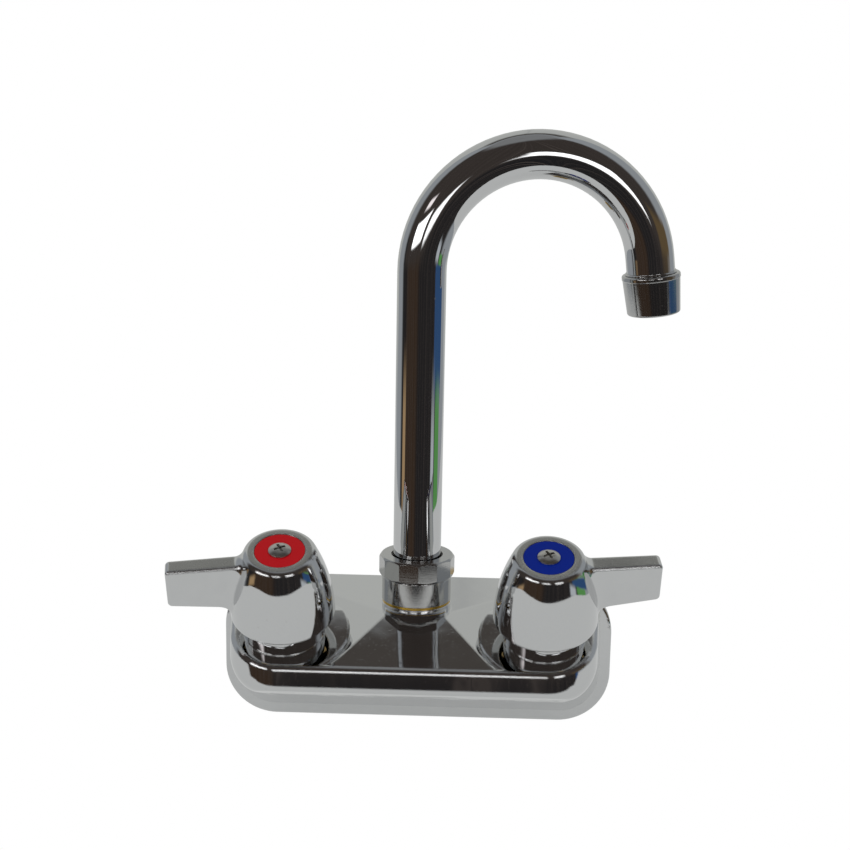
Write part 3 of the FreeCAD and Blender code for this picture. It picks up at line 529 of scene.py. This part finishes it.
brass_shank = turned_metal(
    "turned brass, wall pieces", (0.72, 0.51, 0.22), (0.48, 0.31, 0.13), WALL_AXIS, 0.20)
brass_valve = turned_metal(
    "turned brass, valves", (0.74, 0.53, 0.24), (0.50, 0.34, 0.15), VALVE_AXIS, 0.18)
brass_ring = turned_metal(
    "bright brass ring", (0.80, 0.52, 0.10), (0.62, 0.38, 0.08), UPRIGHT, 0.14)
steel_screw = turned_metal(
    "stainless steel", (0.56, 0.55, 0.52), (0.38, 0.37, 0.35), VALVE_AXIS, 0.22)
steel_screen = turned_metal(
    "stainless screen", (0.55, 0.55, 0.54), (0.42, 0.42, 0.41), UPRIGHT, 0.25)
print("turned metals 5")

# %% [markdown]
# ## Rubber, plastic and ceramic
#
# Seals are matt black rubber, the slide rings white acetal, the index discs glossy red
# and blue plastic, and the valve discs fine white ceramic. Each is a coloured body with
# a mottling, a fine grain that also roughens it, and pale worn edges.

# %% Moulded finishes
MOULDED_WEAR_WIDTH = 0.0003
MOULDED_EDGE = 0.0002
WORN_PALER = 0.12


def moulded(name, colour, other, roughness, grain, depth, specular=0.5):
    """grain is the number of grains in a metre, depth their height."""
    material, tree, shader = new_material(name)
    where = object_place(tree)
    wear = use_group(tree, edge_wear, Width=MOULDED_WEAR_WIDTH, Breakup=200.0)
    marks = use_group(tree, handling_marks, Smear_size=60.0, Spot_size=420.0)
    patches = noise(tree, where, 110.0, 4.0)
    fine = noise(tree, where, grain, 3.0)
    pale = tuple(c + (1.0 - c) * WORN_PALER for c in colour)
    tint = mix_colours(tree, patches, (*colour, 1.0), (*other, 1.0))
    tint = tinted(tree, wear["Wear"], 0.6, tint, pale)
    put(tree, shader.inputs["Base Color"], tint)
    rough = roughened(tree, roughness, (fine, 0.12), (marks["Smears"], 0.08))
    put(tree, shader.inputs["Roughness"], rough)
    put(tree, shader.inputs["Specular IOR Level"], specular)
    put(tree, shader.inputs["Normal"], bumped(tree, fine, depth, MOULDED_EDGE))
    return material


seal_rubber = moulded(
    "black rubber", (0.018, 0.018, 0.019), (0.030, 0.029, 0.028), 0.55, 900.0, 0.00003, 0.4)
white_acetal = moulded(
    "white acetal", (0.78, 0.78, 0.75), (0.72, 0.72, 0.68), 0.30, 700.0, 0.00001)
red_disc = moulded(
    "red disc", (0.46, 0.004, 0.008), (0.40, 0.003, 0.007), 0.30, 800.0, 0.00001, 0.12)
blue_disc = moulded(
    "blue disc", (0.001, 0.016, 0.23), (0.001, 0.013, 0.19), 0.30, 800.0, 0.00001, 0.08)
ceramic = moulded(
    "valve ceramic", (0.84, 0.83, 0.79), (0.78, 0.77, 0.73), 0.12, 1200.0, 0.000004)
print("materials", len(bpy.data.materials))

# %% [markdown]
# ## Smooth shading for the CAD pieces
#
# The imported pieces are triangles. Shaded flat, chrome would show every facet.
# Their faces meet without shared points, so a Weld modifier joins them first.
# Edges sharper than 25 degrees then stay crisp and the rest are shaded smooth.
# A Weighted Normal modifier keeps large flat faces flat where a rounding meets them.

# %% Smooth the CAD pieces
SHARP_EDGE = math.radians(25.0)
WELD_REACH = 0.000002


def smooth_piece(obj):
    obj.data.polygons.foreach_set("use_smooth", [True] * len(obj.data.polygons))
    weld = obj.modifiers.new("join faces", "WELD")
    weld.merge_threshold = WELD_REACH
    split = obj.modifiers.new("crisp edges", "EDGE_SPLIT")
    split.use_edge_sharp = False
    split.split_angle = SHARP_EDGE
    weighted = obj.modifiers.new("flat faces stay flat", "WEIGHTED_NORMAL")
    weighted.mode = "FACE_AREA_WITH_ANGLE"
    weighted.weight = 80


for piece in nodes.values():
    smooth_piece(piece)
print("smoothed", len(nodes))

# %% [markdown]
# ## Finishes on the CAD pieces
#
# Each piece gets the finish that the real one has.
# The table pairs a finish with the pieces that share it, so none is forgotten.

# %% Assign the finishes
FINISHES = (
    (chrome_cast, ("body_casting",)),
    (chrome_lever, ("hot_lever", "cold_lever")),
    (chrome_tube, ("spout_tube",)),
    (chrome_turned, ("spout_sleeve", "spout_nut", "spout_tip_collar", "aerator_housing")),
    (brass_ring, ("seat_ring",)),
    (brass_shank, ("hot_inlet_shank", "cold_inlet_shank", "hot_locknut", "cold_locknut",
                   "spout_foot_bush")),
    (brass_valve, ("hot_cartridge_body", "cold_cartridge_body",
                   "hot_bonnet_nut", "cold_bonnet_nut", "hot_stem", "cold_stem")),
    (steel_screw, ("hot_handle_screw", "cold_handle_screw")),
    (steel_screen, ("aerator_screen",)),
    (seal_rubber, ("spout_o_rings", "aerator_washer", "hot_shank_washer",
                   "cold_shank_washer", "hot_base_seal", "cold_base_seal",
                   "hot_stem_o_rings", "cold_stem_o_rings")),
    (white_acetal, ("spout_glide_ring", "aerator_insert",
                    "hot_thrust_washer", "cold_thrust_washer")),
    (red_disc, ("hot_index_disc",)),
    (blue_disc, ("cold_index_disc",)),
    (ceramic, ("hot_fixed_disc", "cold_fixed_disc", "hot_moving_disc", "cold_moving_disc")),
)
for finish, members in FINISHES:
    for member in members:
        nodes[member].data.materials.clear()
        nodes[member].data.materials.append(finish)
dressed = sum(len(members) for finish, members in FINISHES)
print("pieces with a finish", dressed, "of", len(nodes))

# %% [markdown]
# ## A skin over each thin spot
#
# The open back of the casting comes through the sloping facet behind each valve.
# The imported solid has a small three-cornered opening there, which the real casting
# doesn't have, and the right place to mend it is the solid. Until then a thin plate,
# laid in the facet's own plane and 0.02 mm proud of it, covers the opening and its rim.

# %% Cover the thin spots
SKIN_ACROSS = 0.0625
SKIN_BACK = -0.0235
SKIN_HALF = 0.0065
SKIN_PROUD = 0.00002
SKIN_THICK = 0.0008
FACET_SIDE_FALL = 0.176
FACET_FRONT_RISE = 0.175
FACET_FOOT = Vector((0.0313, -0.0825, 0.02226))
SKIN_CORNERS = ((-1, -1), (1, -1), (1, 1), (-1, 1))
SKIN_FACES = ((0, 1, 2, 3), (7, 6, 5, 4), (0, 4, 5, 1), (1, 5, 6, 2), (2, 6, 7, 3), (3, 7, 4, 0))


def facet_skin(name, side):
    """A square plate in the plane of one facet, centred on its thin spot."""
    normal = Vector((side * FACET_SIDE_FALL, -FACET_FRONT_RISE, 1.0))
    foot = Vector((side * FACET_FOOT.x, FACET_FOOT.y, FACET_FOOT.z))
    middle = Vector((side * SKIN_ACROSS, SKIN_BACK, 0.0))
    middle.z = foot.z - normal.xy.dot(middle.xy - foot.xy)
    normal.normalize()
    along = normal.cross(Vector((0, 1, 0))).normalized()
    other = normal.cross(along)
    points = []
    for depth in (-SKIN_PROUD, SKIN_THICK):
        for a, b in SKIN_CORNERS:
            points.append(middle + SKIN_HALF * (a * along + b * other) - depth * normal)
    mesh = bpy.data.meshes.new(name)
    mesh.from_pydata(points, [], SKIN_FACES)
    mesh.update()
    if mesh.polygons[0].normal.dot(normal) < 0:
        mesh.flip_normals()
    skin = bpy.data.objects.new(name, mesh)
    bpy.context.scene.collection.objects.link(skin)
    skin.data.materials.append(chrome_tube)
    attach(skin, "tap_body")
    return middle


for name, side in (("left_facet_skin", -1), ("right_facet_skin", 1)):
    print(name, "at", [round(c, 4) for c in facet_skin(name, side)])

# %% [markdown]
# ## Directions in the studio
#
# Chrome looks like chrome only when it has something to show. The camera sees plain
# white everywhere, and what the metal sees is drawn into the world by direction.
# Elevation is the height over the horizon. Azimuth is 0 towards the camera's side (-Y),
# 90 on the right (+X) and 180 at the wall. Both are in degrees.

# %% Directions
DEGREES = 180 / math.pi
world = bpy.data.worlds.new("studio")
world.use_nodes = True
bpy.context.scene.world = world
air = world.node_tree
air.nodes.clear()
direction = air.nodes.new("ShaderNodeTexCoord").outputs["Generated"]
heading = add_node(air, "ShaderNodeSeparateXYZ", Vector=direction).outputs
elevation = sums(air, "MULTIPLY", sums(air, "ARCSINE", heading["Z"]), DEGREES)
to_front = sums(air, "MULTIPLY", heading["Y"], -1.0)
azimuth = sums(air, "MULTIPLY", sums(air, "ARCTAN2", heading["X"], to_front), DEGREES)


def band(value, low, high, soft):
    """1 between low and high, fading over soft degrees on each side."""
    rise = smooth_step(air, value, low - soft, low + soft)
    fall = smooth_step(air, value, high - soft, high + soft, 1.0, 0.0)
    return sums(air, "MULTIPLY", rise, fall)


def patch(below, azimuths, elevations, colour, soft):
    """Lay a soft-edged rectangle of directions over what is there already."""
    across = band(azimuth, *azimuths, soft)
    height = band(elevation, *elevations, soft)
    where = sums(air, "MULTIPLY", across, height)
    return mix_colours(air, where, below, (*colour, 1.0))


print("directions ready")

# %% [markdown]
# ## The room that the metal shows
#
# In front is a dim room: darker below the horizon, warmer on the left there, and with
# soft upright folds, as of cloth, from a one-dimensional noise of the azimuth.
# Behind the tap the azimuth jumps from 180 to -180. Patches that reach it end at 181 on
# both sides, a little too far, so that their soft edges overlap there.

# %% Room
ALL_ROUND = 181.0
ROOM = (0.046, 0.038, 0.034)
ROOM_FOLD = tuple(1.7 * c for c in ROOM)
LOW_DARK = (0.018, 0.017, 0.018)
LOW_WARM = (0.045, 0.028, 0.018)
FOLDS_PER_DEGREE = 0.11

folds = air.nodes.new("ShaderNodeTexNoise")
folds.noise_dimensions = "1D"
put(air, folds.inputs["W"], sums(air, "MULTIPLY", azimuth, FOLDS_PER_DEGREE))
put(air, folds.inputs["Detail"], 3.0)
warm_side = band(azimuth, -70.0, -14.0, 8.0)
low_tone = mix_colours(air, warm_side, (*LOW_DARK, 1.0), (*LOW_WARM, 1.0))
above_floor = smooth_step(air, elevation, -9.0, 0.0)
tone = mix_colours(air, above_floor, low_tone, (*ROOM, 1.0))
in_fold = smooth_step(air, folds.outputs["Fac"], 0.50, 0.74)
sky = mix_colours(air, in_fold, tone, (*ROOM_FOLD, 1.0))
print("room tones", ROOM, LOW_DARK, LOW_WARM)

# %% [markdown]
# ## Walls, lights and coloured things
#
# Behind the tap are a pale backdrop, grey sides and a ceiling. In front are the soft
# lights, and at both sides some coloured things that show as thin stripes in the tube.
# Each row gives the azimuths, the elevations, the colour and the softness of its edges.
# A value over 1 is a light. Later rows lie over earlier ones.

# %% Patches
BACKDROP = (0.53, 0.54, 0.52)
GREY_SIDE = (0.33, 0.35, 0.37)
CEILING = (0.23, 0.235, 0.24)
HIGH_WALL = (0.24, 0.24, 0.225)
HIGH_DARK = (0.072, 0.064, 0.058)
EVERY_HEIGHT = (-90.0, 90.0)
BACK_RIGHT = (126.0, ALL_ROUND)
BACK_LEFT = (-ALL_ROUND, -126.0)

WALLS = (
    ((88.0, ALL_ROUND), EVERY_HEIGHT, GREY_SIDE, 8.0),
    ((-ALL_ROUND, -96.0), EVERY_HEIGHT, GREY_SIDE, 8.0),
    ((-ALL_ROUND, -132.0), (-12.0, 60.0), BACKDROP, 3.0),
    ((136.0, ALL_ROUND), (-12.0, 60.0), BACKDROP, 3.0),
    ((-ALL_ROUND, ALL_ROUND), (72.0, 91.0), CEILING, 5.0),
    (BACK_RIGHT, (60.5, 64.8), HIGH_WALL, 1.2),
    (BACK_RIGHT, (64.8, 70.0), HIGH_DARK, 0.8),
    (BACK_LEFT, (60.5, 64.8), HIGH_WALL, 1.2),
    (BACK_LEFT, (64.8, 70.0), HIGH_DARK, 0.8),
)
SOFT_LIGHTS = (
    ((-62.0, -26.0), (4.0, 17.0), (2.4, 2.4, 2.4), 1.2),
    ((-16.0, 4.0), (0.0, 11.0), (1.9, 1.9, 1.9), 2.0),
    ((-60.0, -44.0), (24.0, 31.0), (1.3, 1.2, 1.2), 2.0),
    ((18.0, 38.0), (0.0, 15.0), (2.2, 2.2, 2.2), 1.5),
)
THINGS_IN_THE_ROOM = (
    ((55.0, 100.0), (-3.0, 12.0), (0.13, 0.09, 0.045), 4.0),
    ((68.0, 112.0), (-12.5, -7.5), (0.035, 0.085, 0.20), 0.8),
    ((80.0, 106.0), (-17.0, -12.5), (0.11, 0.32, 0.09), 0.8),
    ((72.0, 110.0), (-7.2, -6.2), (0.12, 0.28, 0.10), 0.5),
    ((60.0, 76.0), (-20.0, -13.0), (0.50, 0.53, 0.56), 2.0),
    ((-84.0, -68.0), (-17.0, -12.0), (0.42, 0.28, 0.15), 1.5),
    ((-94.0, -87.0), (-22.0, 10.0), (0.03, 0.03, 0.03), 1.5),
)
for row in (*WALLS, *SOFT_LIGHTS, *THINGS_IN_THE_ROOM):
    sky = patch(sky, *row)
print("patches", len(WALLS) + len(SOFT_LIGHTS) + len(THINGS_IN_THE_ROOM))

# %% [markdown]
# ## Who sees what
#
# A world can give each kind of ray its own background. A camera ray sees white, a glossy
# ray sees the drawn room, and every other ray gets a soft white fill that lights the
# matt pieces.

# %% World output
WHITE = (1.0, 1.0, 1.0, 1.0)
FILL_STRENGTH = 0.55


def choose(tree, share, one, other):
    """A mix shader: one where share is 0, other where it is 1."""
    mix = add_node(tree, "ShaderNodeMixShader", Fac=share)
    tree.links.new(one.outputs[0], mix.inputs[1])
    tree.links.new(other.outputs[0], mix.inputs[2])
    return mix


ray = air.nodes.new("ShaderNodeLightPath").outputs
plain = add_node(air, "ShaderNodeBackground", Color=WHITE, Strength=1.0)
soft_fill = add_node(air, "ShaderNodeBackground", Color=WHITE, Strength=FILL_STRENGTH)
mirror_view = add_node(air, "ShaderNodeBackground", Color=sky, Strength=1.0)
seen_in_metal = choose(air, ray["Is Glossy Ray"], soft_fill, mirror_view)
seen = choose(air, ray["Is Camera Ray"], seen_in_metal, plain)
world_output = air.nodes.new("ShaderNodeOutputWorld")
air.links.new(seen.outputs[0], world_output.inputs["Surface"])
print("world nodes", len(air.nodes))

# %% [markdown]
# ## The floor's shape
#
# The floor is a white sheet just under the flange. Its front edge is close to the tap,
# because the metal shows where the sheet ends and the dark room begins. The edge is bent
# as a superellipse, so that its mirror image runs in a soft curve round the pieces.

# %% Floor sheet
FLOOR_Z = cad_low.z - 0.0004
FLOOR_FRONT = 0.252
FLOOR_HALF = 0.37
FLOOR_BACK = 0.9
CORNER_ROUNDNESS = 2.6
CORNER_STEPS = 64


def sheet_mesh(name, front, half_width, back):
    """A flat sheet whose front corners are rounded off, as a superellipse."""
    power = 2 / CORNER_ROUNDNESS
    outline = []
    for step in range(CORNER_STEPS + 1):
        angle = math.pi * step / CORNER_STEPS
        across = math.copysign(abs(math.cos(angle)) ** power, math.cos(angle))
        outline.append((half_width * across, -front * math.sin(angle) ** power, FLOOR_Z))
    outline += [(-half_width, back, FLOOR_Z), (half_width, back, FLOOR_Z)]
    mesh = bpy.data.meshes.new(name)
    mesh.from_pydata(outline, [], [list(reversed(range(len(outline))))])
    obj = bpy.data.objects.new(name, mesh)
    bpy.context.scene.collection.objects.link(obj)
    return obj


floor = sheet_mesh("floor", FLOOR_FRONT, FLOOR_HALF, FLOOR_BACK)
print("floor at", round(FLOOR_Z, 4))

# %% [markdown]
# ## The floor's material
#
# The camera sees plain white, so the floor has no edge in the picture. In the metal it
# shows mostly as an even pale grey, because light on a real sheet that is lit all over
# hardly changes. The rest is an ordinary matt sheet with the fibres of paper.

# %% Floor material
FIBRES_PER_METRE = 160.0
FIBRE_HEIGHT = 0.0002
EVEN_SHARE = 0.8

sheet, tree, shader = new_material("white sheet")
fibre = noise(tree, object_place(tree), FIBRES_PER_METRE, 4.0)
paper = mix_colours(tree, fibre, (0.80, 0.80, 0.80, 1), (0.84, 0.84, 0.84, 1))
put(tree, shader.inputs["Base Color"], paper)
put(tree, shader.inputs["Roughness"], 0.9)
put(tree, shader.inputs["Normal"], bumped(tree, fibre, FIBRE_HEIGHT))
ray = tree.nodes.new("ShaderNodeLightPath").outputs
mirrored = mix_colours(tree, fibre, (0.57, 0.58, 0.575, 1), (0.62, 0.63, 0.62, 1))
even = add_node(tree, "ShaderNodeEmission", Color=mirrored, Strength=1.0)
plain_white = add_node(tree, "ShaderNodeEmission", Color=WHITE, Strength=1.0)
in_metal = choose(tree, sums(tree, "MULTIPLY", ray["Is Glossy Ray"], EVEN_SHARE), shader, even)
seen = choose(tree, ray["Is Camera Ray"], in_metal, plain_white)
output = next(n for n in tree.nodes if n.bl_idname == "ShaderNodeOutputMaterial")
tree.links.new(seen.outputs[0], output.inputs["Surface"])
floor.data.materials.append(sheet)
print("floor material", sheet.name)

# %% [markdown]
# ## Lamps
#
# Two large area lamps light the matt pieces softly from above on both sides.
# The metal doesn't show them, because its lights are drawn into the world already.

# %% Lamps
LAMP_TARGET = Vector((0, 0, 0.05))


def area_lamp(name, place, size, power):
    light = bpy.data.lights.new(name, "AREA")
    light.shape = "RECTANGLE"
    light.size, light.size_y = size
    light.energy = power
    lamp = bpy.data.objects.new(name, light)
    bpy.context.scene.collection.objects.link(lamp)
    aim = (LAMP_TARGET - Vector(place)).to_track_quat("-Z", "Y")
    lamp.matrix_world = Matrix.Translation(Vector(place)) @ aim.to_matrix().to_4x4()
    lamp.visible_glossy = False
    lamp.visible_camera = False
    print(name, "at", place, "with", power, "W")


area_lamp("left softbox", (-0.7, -0.5, 0.9), (0.7, 0.5), 3.6)
area_lamp("right softbox", (0.8, -0.3, 0.8), (0.5, 0.5), 2.4)

# %% [markdown]
# ## Finish
#
# The view transform is Standard, so a colour renders about as it is written.
# The size of the CAD model is printed when it is loaded.

# %% Finish
bpy.context.scene.view_settings.view_transform = "Standard"
